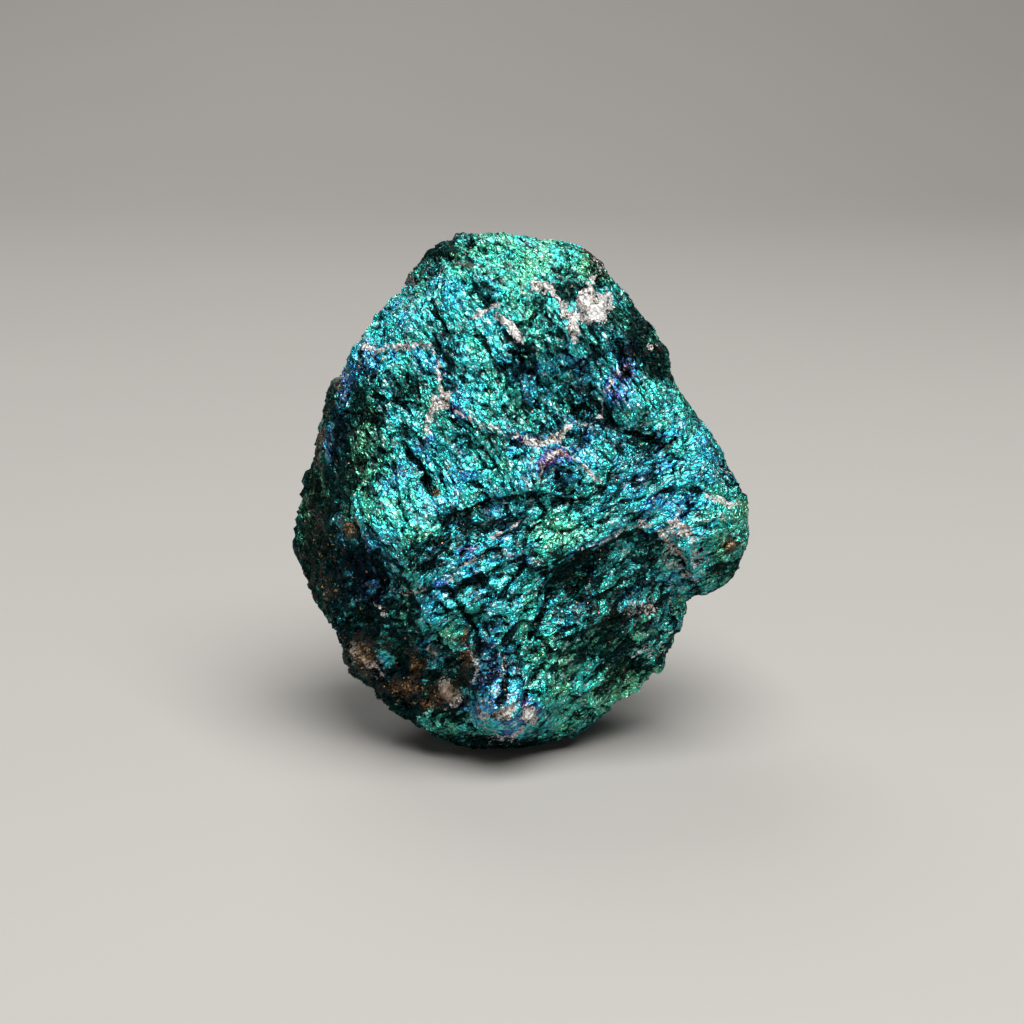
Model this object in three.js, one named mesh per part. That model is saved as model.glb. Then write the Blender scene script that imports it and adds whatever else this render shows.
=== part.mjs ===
// Peacock ore: one broken lump of tarnished copper ore, standing on a small flat spot.
// Millimetres, +Z up, the broad face towards -Y. The origin is the middle of the bounding box's bottom.
//
// The lump is one solid. It is shaped in a frame of its own, [across, into, up], looking straight at the broad
// face from the middle of the lump, and is then leaned back and set down. Its skin starts as a sphere of small
// triangles. Each corner is moved out from the middle: to a pebble with the right outline, in to the flat breaks
// and scoops that cut it, and then in or out by the chips, ledges, cracks and knobs of the broken ore.
import * as THREE from "three";
import { ImprovedNoise } from "three/addons/math/ImprovedNoise.js";

// Driving dimensions.
const WIDTH = 45.4; // across the broad face
const LENGTH = 52.2; // up the broad face
const FRONT_DEPTH = 16.4; // from the middle of the lump to the pebble's front, before the breaks
const BACK_DEPTH = 15.2; // and to its back
const LEAN = 14; // degrees that the broad face leans back
const MIDDLE_HEIGHT = 24.2; // of the middle of the lump over the flat spot
const FULLNESS = 2.5; // of the pebble: 2 is an ellipse, more is boxier
const CUTS_PER_EDGE = 18; // of the icosahedron that the skin starts from
const BREAK_SOFTNESS = 0.6; // how far the edge between two breaks is rounded
const CHIP_SIZE = 4.4; // of the flat chips that the whole skin is broken into
const CHIP_TILT = 0.17; // of a chip, as its rise over its run
const CHIP_BLEND = 0.45; // how far one chip runs into the next
const FOLDS = [
  { size: 7.5, height: 0.45 }, // broad folds of the whole skin: how far apart their crests are, and how high
  { size: 3.4, height: 0.28 },
];
const SKIN_LOSS = 0.35; // how far the folds and chips lie under the plain form, on average
const RIM_RELIEF = 0.5; // share of the folds and chips that is left at the outline
const LEDGE_SLOPE = 0.9; // how far under a ledge's line most of its drop is reached
const FACE_STARTS = 0.15; // how much of a direction points forward where ledges and cracks begin
const FACE_IN_FULL = 0.5; // and where they have their full depth
const EDGE_ON = 1e-3; // a direction that rises this little towards a break never meets it

// The outline of the broad face, [across, up], clockwise from the crown.
const OUTLINE = [
  [-3.3, 26.0], [2.7, 25.4], [5.9, 24.4], [7.9, 23.2], [10.1, 20.4], [12.9, 17.2], [13.8, 15.8], [14.9, 14.3],
  [15.1, 12.0], [17.0, 8.8], [20.2, 3.8], [21.3, 1.6], [22.8, -2.8], [22.9, -4.8], [21.8, -8.4], [17.0, -11.1],
  [16.3, -12.8], [14.6, -17.0], [11.0, -20.4], [7.7, -22.7], [3.7, -25.0], [-0.1, -25.7], [-4.1, -25.8],
  [-7.2, -24.8], [-12.8, -22.2], [-15.3, -20.2], [-17.3, -17.9], [-19.3, -13.0], [-22.7, -8.5], [-22.9, -4.8],
  [-23.2, -2.8], [-22.6, -0.8], [-21.1, 3.7], [-20.3, 8.7], [-19.9, 10.4], [-18.9, 11.5], [-17.6, 12.3],
  [-16.8, 14.2], [-15.5, 16.6], [-13.6, 18.7], [-11.7, 20.0], [-10.8, 22.7], [-9.0, 24.6], [-6.6, 25.9],
];

// Flat breaks: a point on each, and the way that it faces, [across, into, up].
const BREAKS = [
  { at: [-9.0, -14.6, 0.0], facing: [-0.16, -0.96, 0.16] }, // left of the middle
  { at: [10.0, -13.6, 1.0], facing: [0.26, -0.93, 0.14] }, // right shoulder
  { at: [-9.0, -11.7, 15.0], facing: [-0.24, -0.84, 0.48] }, // upper left shoulder
  { at: [-9.5, -6.5, 22.0], facing: [-0.62, -0.6, 0.5] }, // dark cap, top left
  { at: [2.0, -9.0, 21.0], facing: [0.03, -0.72, 0.69] }, // crown
  { at: [10.6, -9.8, 14.6], facing: [0.66, -0.6, 0.45] }, // upper right, smooth
  { at: [-18.2, -9.0, 0.0], facing: [-0.92, -0.38, 0.05] }, // left wall
  { at: [-14.5, -10.2, -13.5], facing: [-0.58, -0.66, -0.48] }, // lower left
  { at: [9.0, -11.6, -14.0], facing: [0.3, -0.92, -0.26] }, // lower right
  { at: [-1.0, -11.0, -20.0], facing: [-0.06, -0.84, -0.54] }, // foot of the face
  { at: [19.4, -7.0, -7.4], facing: [0.56, -0.6, -0.58] }, // under the right end
  { at: [-10.0, 11.8, 8.0], facing: [-0.4, 0.86, 0.32] }, // back, left
  { at: [9.0, 12.4, 4.0], facing: [0.34, 0.93, 0.12] }, // back, right
  { at: [2.0, 12.2, -16.8], facing: [0.08, 0.88, -0.46] }, // back, low
  { at: [0.0, 9.4, 17.0], facing: [0.1, 0.7, 0.7] }, // back, high
  { at: [16.8, 5.5, -8.0], facing: [0.78, 0.5, -0.36] }, // right, behind
  { at: [-17.4, 6.0, -10.0], facing: [-0.8, 0.42, -0.42] }, // left, behind
];

// Scoops: hollows left by pieces that broke out, each the inside of a ball.
const SCOOPS = [
  { centre: [4.4, -17.4, 9.0], radius: 6.6 }, // the bowl in the upper face
  { centre: [3.8, -16.2, 0.8], radius: 2.2 }, // the pocket under the bowl
  { centre: [24.0, -14.0, -15.0], radius: 9.5 }, // under the right end
  { centre: [-4.0, 27.0, 2.0], radius: 14.2 }, // in the back
  { centre: [12.0, 21.4, -9.0], radius: 10.5 },
];

// Ledges of the broad face, [across, up]: the ore stands full over each line, drops back under it and then
// comes out again.
const LEDGES = [
  { line: [[-6.2, -1.9], [-2.0, -0.5], [2.3, 0.0], [5.6, -0.6]], drop: 1.5, reach: 2.4 },
  { line: [[2.3, -7.8], [6.5, -5.3], [11.2, -3.6], [14.2, -4.5], [15.9, -7.8]], drop: 2.3, reach: 4.6 },
  { line: [[-17.5, -5.0], [-13.3, -6.4], [-10.5, -9.2], [-7.6, -14.0], [-4.8, -17.7]], drop: 2.4, reach: 5.5 },
  { line: [[-9.0, -9.2], [-3.9, -7.8], [-0.1, -6.0]], drop: 1.1, reach: 1.8 },
  { line: [[-1.5, -14.0], [0.8, -10.7], [3.7, -8.3]], drop: 1.4, reach: 2.2 },
  { line: [[3.7, -14.0], [9.3, -11.6], [15.9, -9.2]], drop: 1.0, reach: 2.0 },
  { line: [[5.0, -19.0], [11.2, -16.3], [14.6, -14.4]], drop: 0.9, reach: 2.0 },
  { line: [[-15.0, 13.6], [-8.6, 14.2]], drop: 0.7, reach: 1.6 },
  { line: [[-11.9, 18.1], [-7.6, 21.7], [-4.8, 23.3]], drop: -1.0, reach: 2.2 },
  { line: [[4.6, 5.6], [8.0, 8.0], [9.4, 11.4]], drop: -0.9, reach: 2.6 },
];

// Cracks of the broad face, [across, up].
const CRACKS = [
  { line: [[-11.2, 4.9], [-9.5, 2.3], [-7.8, 0.0]], depth: 1.7, width: 0.8 },
  { line: [[-16.1, 8.7], [-14.7, 4.9], [-13.8, 1.1]], depth: 0.9, width: 1.6 },
  { line: [[-0.6, -14.4], [0.1, -16.8], [-0.1, -19.2]], depth: 1.3, width: 0.9 },
  { line: [[6.4, 8.2], [9.6, 5.4], [13.4, 4.0]], depth: 0.7, width: 0.9 },
];

// Knobs: rounded rises of the broad face, [across, up].
const KNOBS = [
  { at: [-11.4, -1.0], radius: 5.5, rise: 0.8 }, // the middle bulge
  { at: [-8.4, -12.5], radius: 2.4, rise: 1.3 }, // the bright rib
  { at: [-1.7, -18.9], radius: 3.2, rise: 1.6 }, // the boss at the foot
  { at: [-1.4, 8.2], radius: 3.6, rise: 0.6 }, // left lip of the bowl
  { at: [2.3, 4.8], radius: 3.0, rise: 0.8 }, // lower lip of the bowl
  { at: [19.2, -2.6], radius: 3.6, rise: 0.9 }, // the right end
  { at: [0.6, -11.2], radius: 2.4, rise: 0.9 }, // the rib beside the boss
  { at: [-6.4, 18.6], radius: 3.0, rise: 0.6 }, // the bright shoulder
];

const POLAR = OUTLINE.map(([x, z]) => ({ angle: Math.atan2(z, x), radius: Math.hypot(x, z) })).sort(
  (a, b) => a.angle - b.angle,
);

// The outline's radius at an angle, by straight interpolation between its points.
function outlineRadius(angle) {
  const turn = 2 * Math.PI;
  const next = Math.max(0, POLAR.findIndex((p) => p.angle > angle));
  const before = (next + POLAR.length - 1) % POLAR.length;
  const span = (POLAR[next].angle - POLAR[before].angle + turn) % turn;
  const along = ((angle - POLAR[before].angle + turn) % turn) / span;
  return POLAR[before].radius + (POLAR[next].radius - POLAR[before].radius) * along;
}

function pebbleRadius(dir) {
  const inPlane = Math.hypot(dir.x, dir.z) / outlineRadius(Math.atan2(dir.z, dir.x));
  const depth = Math.abs(dir.y) / (dir.y < 0 ? FRONT_DEPTH : BACK_DEPTH);
  return Math.pow(inPlane ** FULLNESS + depth ** FULLNESS, -1 / FULLNESS);
}

// The lesser of two radii, with the edge between them rounded.
function softLesser(a, b) {
  const blend = Math.max(BREAK_SOFTNESS - Math.abs(a - b), 0) / BREAK_SOFTNESS;
  return Math.min(a, b) - (blend * blend * BREAK_SOFTNESS) / 4;
}

function breakRadius(dir, { at, facing }) {
  const normal = new THREE.Vector3(...facing).normalize();
  const slant = normal.dot(dir);
  return slant > EDGE_ON ? normal.dot(new THREE.Vector3(...at)) / slant : Infinity;
}

function scoopRadius(dir, { centre, radius }) {
  const middle = new THREE.Vector3(...centre);
  const along = middle.dot(dir);
  const miss = middle.lengthSq() - along * along;
  return along > 0 && miss < radius * radius ? along - Math.sqrt(radius * radius - miss) : Infinity;
}

// The nearest place on a line of points: how far off it is, how far past the line's end, and whether x, z is
// under the line.
function nearestOnLine(x, z, line) {
  let nearest = { away: Infinity };
  for (let i = 0; i + 1 < line.length; i++) {
    const [ax, az] = line[i];
    const [bx, bz] = line[i + 1];
    const length = Math.hypot(bx - ax, bz - az);
    const along = ((x - ax) * (bx - ax) + (z - az) * (bz - az)) / length;
    const held = Math.min(Math.max(along, 0), length);
    const away = Math.hypot(x - ax - ((bx - ax) * held) / length, z - az - ((bz - az) * held) / length);
    const under = (bx - ax) * (z - az) - (bz - az) * (x - ax) < 0;
    if (away < nearest.away) nearest = { away, under, past: Math.abs(along - held) };
  }
  return nearest;
}

const noise = new ImprovedNoise();

// A fold: noise with sharp crests, about 0 on average, with crests about `size` apart.
function fold(p, { size, height }) {
  return height * (0.5 - 2.6 * Math.abs(noise.noise(p.x / size + 3.1, p.y / size - 3.1, p.z / size + 6.2)));
}

// A number from 0 to 1 that is always the same for the same cell and use.
function cellNumber(cell, use) {
  const swing = Math.sin(cell.x * 127.1 + cell.y * 311.7 + cell.z * 74.7 + use * 19.3) * 43758.5453;
  return swing - Math.floor(swing);
}

// Chips: the skin is parted into flat pieces, each tilted its own way. Each has its middle in a cell of a grid,
// and one runs into the next within about CHIP_BLEND.
function chips(p) {
  const home = p.clone().divideScalar(CHIP_SIZE).floor();
  let total = 0;
  let weights = 0;
  for (let i = -1; i <= 1; i++)
    for (let j = -1; j <= 1; j++)
      for (let k = -1; k <= 1; k++) {
        const cell = home.clone().add(new THREE.Vector3(i, j, k));
        const jitter = new THREE.Vector3(cellNumber(cell, 1), cellNumber(cell, 2), cellNumber(cell, 3));
        const offset = p.clone().sub(jitter.add(cell).multiplyScalar(CHIP_SIZE));
        const tilt = new THREE.Vector3(...[4, 5, 6].map((use) => 2 * cellNumber(cell, use) - 1));
        const weight = Math.exp(-offset.length() / CHIP_BLEND);
        total += weight * 2 * CHIP_TILT * tilt.dot(offset);
        weights += weight;
      }
  return total / weights;
}

// How far the broad face stands back from the plain form.
function faceRecess(x, z) {
  let recess = 0;
  for (const { line, drop, reach } of LEDGES) {
    const { away, under, past } = nearestOnLine(x, z, line);
    if (under) recess += drop * (1 - Math.exp(-away / LEDGE_SLOPE)) * Math.exp(-(away + past) / reach);
  }
  for (const { line, depth, width } of CRACKS)
    recess += depth * Math.exp(-((nearestOnLine(x, z, line).away / width) ** 2));
  for (const { at, radius, rise } of KNOBS)
    recess -= rise * Math.exp(-((x - at[0]) ** 2 + (z - at[1]) ** 2) / radius ** 2);
  return recess;
}

function skinPoint(dir) {
  let radius = pebbleRadius(dir);
  for (const cut of BREAKS) radius = softLesser(radius, breakRadius(dir, cut));
  for (const scoop of SCOOPS) radius = softLesser(radius, scoopRadius(dir, scoop));
  const point = dir.clone().multiplyScalar(radius);
  const relief = fold(point, FOLDS[0]) + fold(point, FOLDS[1]) + chips(point);
  point.addScaledVector(dir, relief * THREE.MathUtils.lerp(RIM_RELIEF, 1, Math.abs(dir.y)) - SKIN_LOSS);
  const onFace = THREE.MathUtils.smoothstep(-dir.y, FACE_STARTS, FACE_IN_FULL);
  if (onFace > 0) point.y += faceRecess(point.x, point.z) * onFace;
  return point;
}

function oreGeometry() {
  const geometry = new THREE.IcosahedronGeometry(1, CUTS_PER_EDGE);
  const position = geometry.getAttribute("position");
  const dir = new THREE.Vector3();
  for (let i = 0; i < position.count; i++) {
    dir.fromBufferAttribute(position, i);
    dir.set(dir.x * WIDTH, dir.y * (FRONT_DEPTH + BACK_DEPTH), dir.z * LENGTH).normalize();
    const point = skinPoint(dir).applyAxisAngle(new THREE.Vector3(1, 0, 0), -THREE.MathUtils.degToRad(LEAN));
    if (point.z < -MIDDLE_HEIGHT) point.multiplyScalar(-MIDDLE_HEIGHT / point.z);
    position.setXYZ(i, point.x, point.y, Math.max(0, point.z + MIDDLE_HEIGHT));
  }
  geometry.computeBoundingBox();
  const { min, max } = geometry.boundingBox;
  return geometry.translate(-(min.x + max.x) / 2, -(min.y + max.y) / 2, 0);
}

const ore = new THREE.Mesh(
  oreGeometry(),
  new THREE.MeshStandardMaterial({ color: 0x0e7f7a, roughness: 0.35, metalness: 0.85 }),
);
ore.name = "ore";

const group = new THREE.Group();
group.add(ore);
export default group;
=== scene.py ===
# %% [markdown]
# # Peacock ore
#
# This lesson finishes one broken lump of tarnished copper ore. Its size, its outline and its large breaks
# come with the frame, as one solid. What makes the stone worth picking up is finer than that: thousands of
# small flakes, each with a film of its own colour, and pale veins that healed old cracks. All of that belongs
# to one piece of stone, so the script makes one piece too: a fine skin cut from the solid, with one finish.

# %% Load the frame
import math

import bmesh
import bpy
import numpy as np
from mathutils import Matrix, Vector, noise


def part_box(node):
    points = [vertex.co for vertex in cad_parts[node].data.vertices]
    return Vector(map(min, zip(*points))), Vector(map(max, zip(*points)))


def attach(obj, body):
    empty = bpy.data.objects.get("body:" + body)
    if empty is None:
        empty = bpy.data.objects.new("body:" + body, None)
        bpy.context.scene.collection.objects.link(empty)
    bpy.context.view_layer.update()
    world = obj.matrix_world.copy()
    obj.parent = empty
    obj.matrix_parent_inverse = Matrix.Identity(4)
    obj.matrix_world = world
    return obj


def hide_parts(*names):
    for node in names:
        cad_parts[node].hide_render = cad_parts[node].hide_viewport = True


MM = 0.001

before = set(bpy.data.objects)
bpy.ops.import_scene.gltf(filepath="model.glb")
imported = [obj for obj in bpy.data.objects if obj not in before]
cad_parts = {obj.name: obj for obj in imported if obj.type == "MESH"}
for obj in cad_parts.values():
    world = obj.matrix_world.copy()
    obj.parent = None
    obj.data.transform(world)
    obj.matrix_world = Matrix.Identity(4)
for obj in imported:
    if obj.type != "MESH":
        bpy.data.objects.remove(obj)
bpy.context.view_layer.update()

# %% [markdown]
# ## The camera
#
# The lump leans back a little, and the camera looks down on it by the same angle, so it sees the broad face
# squarely. A long lens keeps the outline calm. The camera is made first, because the marks on the broad face
# are placed as they are seen from it.

# %% Set the camera
LEAN = math.radians(14)
EYE_DISTANCE = 231 * MM
SENSOR = 36
LENS = 81.2
BOX_TO_MIDDLE = Vector((-0.045, 0.635, -0.77)) * MM  # marks are measured from a point near the box's middle
AIM = (-0.9, -2.0)  # across and up from that point, mm

lowest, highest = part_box("ore")
middle = (lowest + highest) / 2 + BOX_TO_MIDDLE
right = Vector((1, 0, 0))
ahead = Vector((0, math.cos(LEAN), -math.sin(LEAN)))
above = right.cross(ahead)

camera = bpy.data.objects.new("camera", bpy.data.cameras.new("camera"))
camera.data.sensor_width = SENSOR
camera.data.lens = LENS
camera.data.clip_start = 10 * MM
camera.location = middle + (AIM[0] * right + AIM[1] * above) * MM - EYE_DISTANCE * ahead
camera.rotation_euler = (math.pi / 2 - LEAN, 0, 0)
bpy.context.scene.collection.objects.link(camera)
bpy.context.scene.camera = camera
print("camera at, m:", [round(value, 4) for value in camera.location])

# %% [markdown]
# ## Where the light comes from
#
# The flakes of this ore are small mirrors, so where they flash depends on the main lamp as much as on the
# stone. The lamp itself is made last, but its direction is chosen here, because the flakes are laid to face
# it or to turn away.

# %% Choose where the key lamp stands
KEY_AZIMUTH = 22  # degrees: 0 is in front, and 90 to the right
KEY_ELEVATION = 66


def outward(azimuth, elevation):
    """The direction from the lump to a lamp, from angles in degrees."""
    turn, rise = math.radians(azimuth), math.radians(elevation)
    return Vector((math.sin(turn) * math.cos(rise), -math.cos(turn) * math.cos(rise), math.sin(rise)))


# A flake that faces halfway between the lamp and the camera shows the lamp in its mirror.
halfway = np.array((outward(KEY_AZIMUTH, KEY_ELEVATION) - ahead).normalized())
print("a flake flashes when it faces:", halfway.round(2))

# %% [markdown]
# ## A fine skin
#
# The solid has flat triangles more than a millimetre long. The skin starts as a copy of it. Its loose
# triangles are merged first, and each is cut into 4. Edges that are still long are then halved, in rounds,
# with a finer limit on the broad face, where the finest work goes. Smoothing takes the old edges away, so
# that they don't show through the new relief. Subdivision by operator keeps the solid's form, which a
# sculpted ball wouldn't.

# %% Cut the skin from the solid
MERGE_DISTANCE = 1e-6
CUTS = 1
HALVING_ROUNDS = 4
SMOOTHING_ROUNDS = 6
SMOOTHING = 0.5  # how far a point moves towards its neighbours in a round
LONGEST_ON_FACE = 0.34 * MM
LONGEST_BEHIND = 0.5 * MM
BROAD_FACE = -2.0 * MM  # the broad face is what lies this far or farther before the middle


def smooth(shell, rounds):
    every_way = {"use_axis_x": True, "use_axis_y": True, "use_axis_z": True}
    for _ in range(rounds):
        bmesh.ops.smooth_vert(shell, verts=shell.verts, factor=SMOOTHING, **every_way)


def halve_long_edges(shell):
    """Halves each edge over its limit once, and says how many there were."""
    long_edges = []
    for edge in shell.edges:
        on_face = (edge.verts[0].co - middle).dot(ahead) < BROAD_FACE
        if edge.calc_length() > (LONGEST_ON_FACE if on_face else LONGEST_BEHIND):
            long_edges.append(edge)
    bmesh.ops.subdivide_edges(shell, edges=long_edges, cuts=1, use_grid_fill=True)
    bmesh.ops.triangulate(shell, faces=shell.faces)
    return len(long_edges)


skin = bpy.data.meshes.new("ore_skin")
shell = bmesh.new()
shell.from_mesh(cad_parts["ore"].data)
bmesh.ops.remove_doubles(shell, verts=shell.verts, dist=MERGE_DISTANCE)
bmesh.ops.subdivide_edges(shell, edges=shell.edges, cuts=CUTS, use_grid_fill=True)
for _ in range(HALVING_ROUNDS):
    print("long edges halved:", halve_long_edges(shell))
    smooth(shell, 1)
smooth(shell, SMOOTHING_ROUNDS)
shell.to_mesh(skin)
shell.free()
print("skin:", len(skin.vertices), "points,", len(skin.polygons), "faces")

# %% [markdown]
# ## Reading and moving points
#
# Relief is worked out for all points at once, as columns of numbers in millimetres. That is much faster than
# going from point to point, and each kind of relief stays one short sum. Marks on the broad face are placed
# by how far across and how far up from the lump's middle they are seen.


# %% Points as columns
def read_points(mesh):
    flat = np.empty(len(mesh.vertices) * 3)
    mesh.vertices.foreach_get("co", flat)
    return flat.reshape(-1, 3) / MM


def read_normals(mesh):
    flat = np.empty(len(mesh.vertices) * 3)
    mesh.vertex_normals.foreach_get("vector", flat)
    return flat.reshape(-1, 3)


def write_points(mesh, points):
    mesh.vertices.foreach_set("co", (points * MM).ravel())
    mesh.update()


def as_seen(points):
    """How far across and up each point is seen by the camera, in mm from the lump's middle."""
    offset = points - np.array(middle) / MM
    into = offset @ np.array(ahead)
    nearness = EYE_DISTANCE / MM / (EYE_DISTANCE / MM + into)
    across = (offset[:, 0] - AIM[0]) * nearness + AIM[0]
    up = (offset @ np.array(above) - AIM[1]) * nearness + AIM[1]
    return across, up


def ease(low, high, values):
    """0 up to low, 1 from high on, and a smooth step between them."""
    share = np.clip((values - low) / (high - low), 0, 1)
    return share * share * (3 - 2 * share)


points = read_points(skin)
normals = read_normals(skin)
across, up = as_seen(points)
facing = -normals @ np.array(ahead)  # 1 where the skin faces the camera
print("seen across, mm:", across.min().round(1), "to", across.max().round(1))
print("seen up, mm:", up.min().round(1), "to", up.max().round(1))

# %% [markdown]
# ## Flakes
#
# Copper ore doesn't split along clean planes. It breaks into small scales that overlap like shingles. A
# scale is made here as in a mosaic: space is parted into cells, each cell has a seed, and each point belongs
# to its nearest seed. A cell's patch of skin is tilted its own way and stands a little high or low, so that
# a small cliff is left where two cells meet. The cells are stretched along the way that the ore grew.
# Blender's own cell texture brings cells too, but no tilt, and the tilt is what makes one flake flash and
# not the next.

# %% A number of its own for each cell
LARGE_PRIMES = (73856093, 19349663, 83492791, 668265263)  # they send neighbours to unlike numbers
STIRRING = ((13, 1274126177), (15, 1911520717))  # a shift and a factor for each round
LAST_SHIFT = 12
LOW_BITS = 0x7FFFFFFF
NUMBER_STEPS = 65536


def cell_number(cells, use):
    """A number from 0 to 1, always the same for the same cell and use."""
    mixed = cells[:, 0] * LARGE_PRIMES[0] ^ cells[:, 1] * LARGE_PRIMES[1]
    mixed = mixed ^ cells[:, 2] * LARGE_PRIMES[2] ^ use * LARGE_PRIMES[3]
    for shift, factor in STIRRING:
        mixed = (mixed ^ mixed >> shift) * factor & LOW_BITS
    return (mixed ^ mixed >> LAST_SHIFT) % NUMBER_STEPS / NUMBER_STEPS


def cell_numbers(cells, use):
    """Three such numbers for each cell, as a vector."""
    return np.stack([cell_number(cells, 3 * use + axis) for axis in range(3)], axis=1)


print("first cell's numbers:", cell_numbers(np.zeros((1, 3), np.int64), 1).round(2)[0])

# %% The height of flakes
SEED_MARGIN = 0.1  # a seed keeps this far from its cell's walls, as a share of the cell


def flakes(points, axes, size, tilt, step, wild, shingle, seed):
    """How high flakes stand, in mm, and for each point a number from 0 to 1 that its flake has to itself.

    Size is along each axis, in mm. Tilt, as rise over run, and step, in mm, count as far as the flakes lie
    wild. Shingle is the slope that all flakes near a point have in common, on top of that.
    """
    place = points @ axes.T / size
    home = np.floor(place).astype(np.int64)
    nearest = np.full(len(points), np.inf)
    height = np.zeros(len(points))
    number = np.zeros(len(points))
    shared_lean = shingle @ axes.T * size
    for shift in np.ndindex(3, 3, 3):
        cell = home + np.array(shift) - 1
        away = place - cell - SEED_MARGIN - (1 - 2 * SEED_MARGIN) * cell_numbers(cell, seed)
        distance = (away**2).sum(axis=1)
        closer = distance < nearest
        lean = (2 * cell_numbers(cell[closer], seed + 1) - 1) * np.array(size) * tilt * wild[closer, None]
        height[closer] = ((lean + shared_lean[closer]) * away[closer]).sum(axis=1)
        number[closer] = cell_number(cell[closer], 3 * seed + 7)
        nearest = np.minimum(nearest, distance)
    return height + step * wild * (2 * number - 1), number


# %% Which way the grain runs, and what is in front
SEED_SHIFT = 17.3  # moves the noise to another place for each seed
GRAIN_TURNS = 3  # the grain turns over this many mm to each side of a line across the face
GRAIN_LINE_SLOPE = 0.5
GRAIN_LINE_WANDER = 4
FRONT_ENDS = (-0.35, 0.15)  # marks of the face end where the skin turns this far from the camera
FRONT_FRAY = 0.15


def smooth_noise(points, size, seed):
    """Smooth noise from about -1 to 1, with hills about size apart, in mm."""
    place = points / size + seed * SEED_SHIFT
    return np.fromiter((noise.noise(spot) for spot in place), float, len(points))


def grain_axes(long_across, long_up):
    """Three axes as rows: along the grain, across it, and into the stone."""
    along = (long_across * right + long_up * above).normalized()
    return np.array([along, ahead.cross(along), ahead])


STEEP_GRAIN = grain_axes(0.57, -0.82)  # upper left: down to the right
SLANT_GRAIN = grain_axes(0.87, 0.5)  # lower right: up to the right
grain_line = across * GRAIN_LINE_SLOPE - up + GRAIN_LINE_WANDER * smooth_noise(points, 9, 1)
slant = ease(-GRAIN_TURNS, GRAIN_TURNS, grain_line)
front = ease(*FRONT_ENDS, facing + FRONT_FRAY * smooth_noise(points, 4, 13))
print("share of the skin with slanting grain:", slant.mean().round(2), "in front:", front.mean().round(2))

# %% [markdown]
# ## Ledges and cracks
#
# The large ledges are in the solid, but their edges are as blunt as its triangles. Here each gets its crisp
# lip back, a drop that is steep at the line and fades out below it. A crack is a narrow groove with round
# ends. Both are drawn as lines with a few corners, and noise makes the lines wander, because nothing in
# broken stone is straight. The far side gets ledges too, drawn as they would be seen through the stone.

# %% Distance from a drawn line
WANDER = ((2.4, 0.35), (0.9, 0.2))  # how far apart a line's bends are, and how far they carry it, mm

drawn_across = across.copy()
drawn_up = up.copy()
for order, (apart, reach) in enumerate(WANDER):
    drawn_across += reach * smooth_noise(points, apart, 21 + 2 * order)
    drawn_up += reach * smooth_noise(points, apart, 22 + 2 * order)


def from_line(line):
    """For each point as seen: distance from the line, whether it is under it, and how far past its ends."""
    away = np.full(len(points), np.inf)
    under = np.zeros(len(points), bool)
    past = np.zeros(len(points))
    for (ax, ay), (bx, by) in zip(line, line[1:]):
        length = math.hypot(bx - ax, by - ay)
        right_of, above_of = drawn_across - ax, drawn_up - ay
        along = (right_of * (bx - ax) + above_of * (by - ay)) / length
        held = np.clip(along, 0, length)
        distance = np.hypot(right_of - (bx - ax) * held / length, above_of - (by - ay) * held / length)
        closer = distance < away
        below = (bx - ax) * above_of - (by - ay) * right_of < 0
        under = np.where(closer, below, under)
        past = np.where(closer, np.abs(along - held), past)
        away = np.minimum(away, distance)
    return away, under, past


print("lines wander, mm:", np.hypot(drawn_across - across, drawn_up - up).max().round(2))

# %% Draw the ledges and cracks
BACK_STARTS = (0.0, -0.3)  # marks behind start where the skin turns this far from the camera
back = ease(*BACK_STARTS, facing)
BACK_LEDGES = [  # drop and reach in mm, and the line of the lip, [across, up]
    (1.0, 3.2, [(-15.0, 6.0), (-9.0, 8.6), (-3.0, 8.0), (2.0, 9.6), (8.0, 8.4), (13.0, 11.0)]),
    (0.8, 2.6, [(-17.0, -3.0), (-10.0, -4.6), (-4.0, -3.6), (3.0, -7.0), (9.0, -6.4), (16.0, -4.6)]),
    (0.7, 2.2, [(-6.0, 21.0), (-1.0, 17.4), (4.0, 16.6), (8.6, 13.6)]),
    (0.6, 1.8, [(-10.0, -13.6), (-3.0, -12.4), (4.0, -15.0), (10.0, -14.0)]),
    (0.6, 1.6, [(-4.0, 7.0), (-5.6, 2.6), (-4.6, -3.0)]),
    (0.5, 1.6, [(7.0, 8.0), (8.8, 3.0), (7.6, -2.0), (9.0, -6.0)]),
]
LEDGES = [
    (0.5, 1.6, [(-6.6, -2.0), (-2.1, -0.5), (2.4, 0.0), (5.9, -0.6)]),
    (0.8, 3.2, [(2.4, -8.3), (6.9, -5.6), (11.9, -3.8), (15.0, -4.8), (16.9, -8.3)]),
    (0.6, 3.0, [(-18.5, -5.3), (-14.1, -6.8), (-11.1, -9.8), (-8.1, -14.8), (-5.1, -18.8)]),
    (0.5, 1.4, [(-9.5, -9.8), (-4.1, -8.3), (-0.1, -6.4)]),
    (0.5, 1.4, [(-1.6, -14.8), (0.8, -11.3), (3.9, -8.8)]),
    (0.4, 1.4, [(3.9, -14.8), (9.9, -12.3), (16.9, -9.8)]),
    (0.4, 1.4, [(5.3, -20.1), (11.9, -17.3), (15.5, -15.3)]),
]
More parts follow.
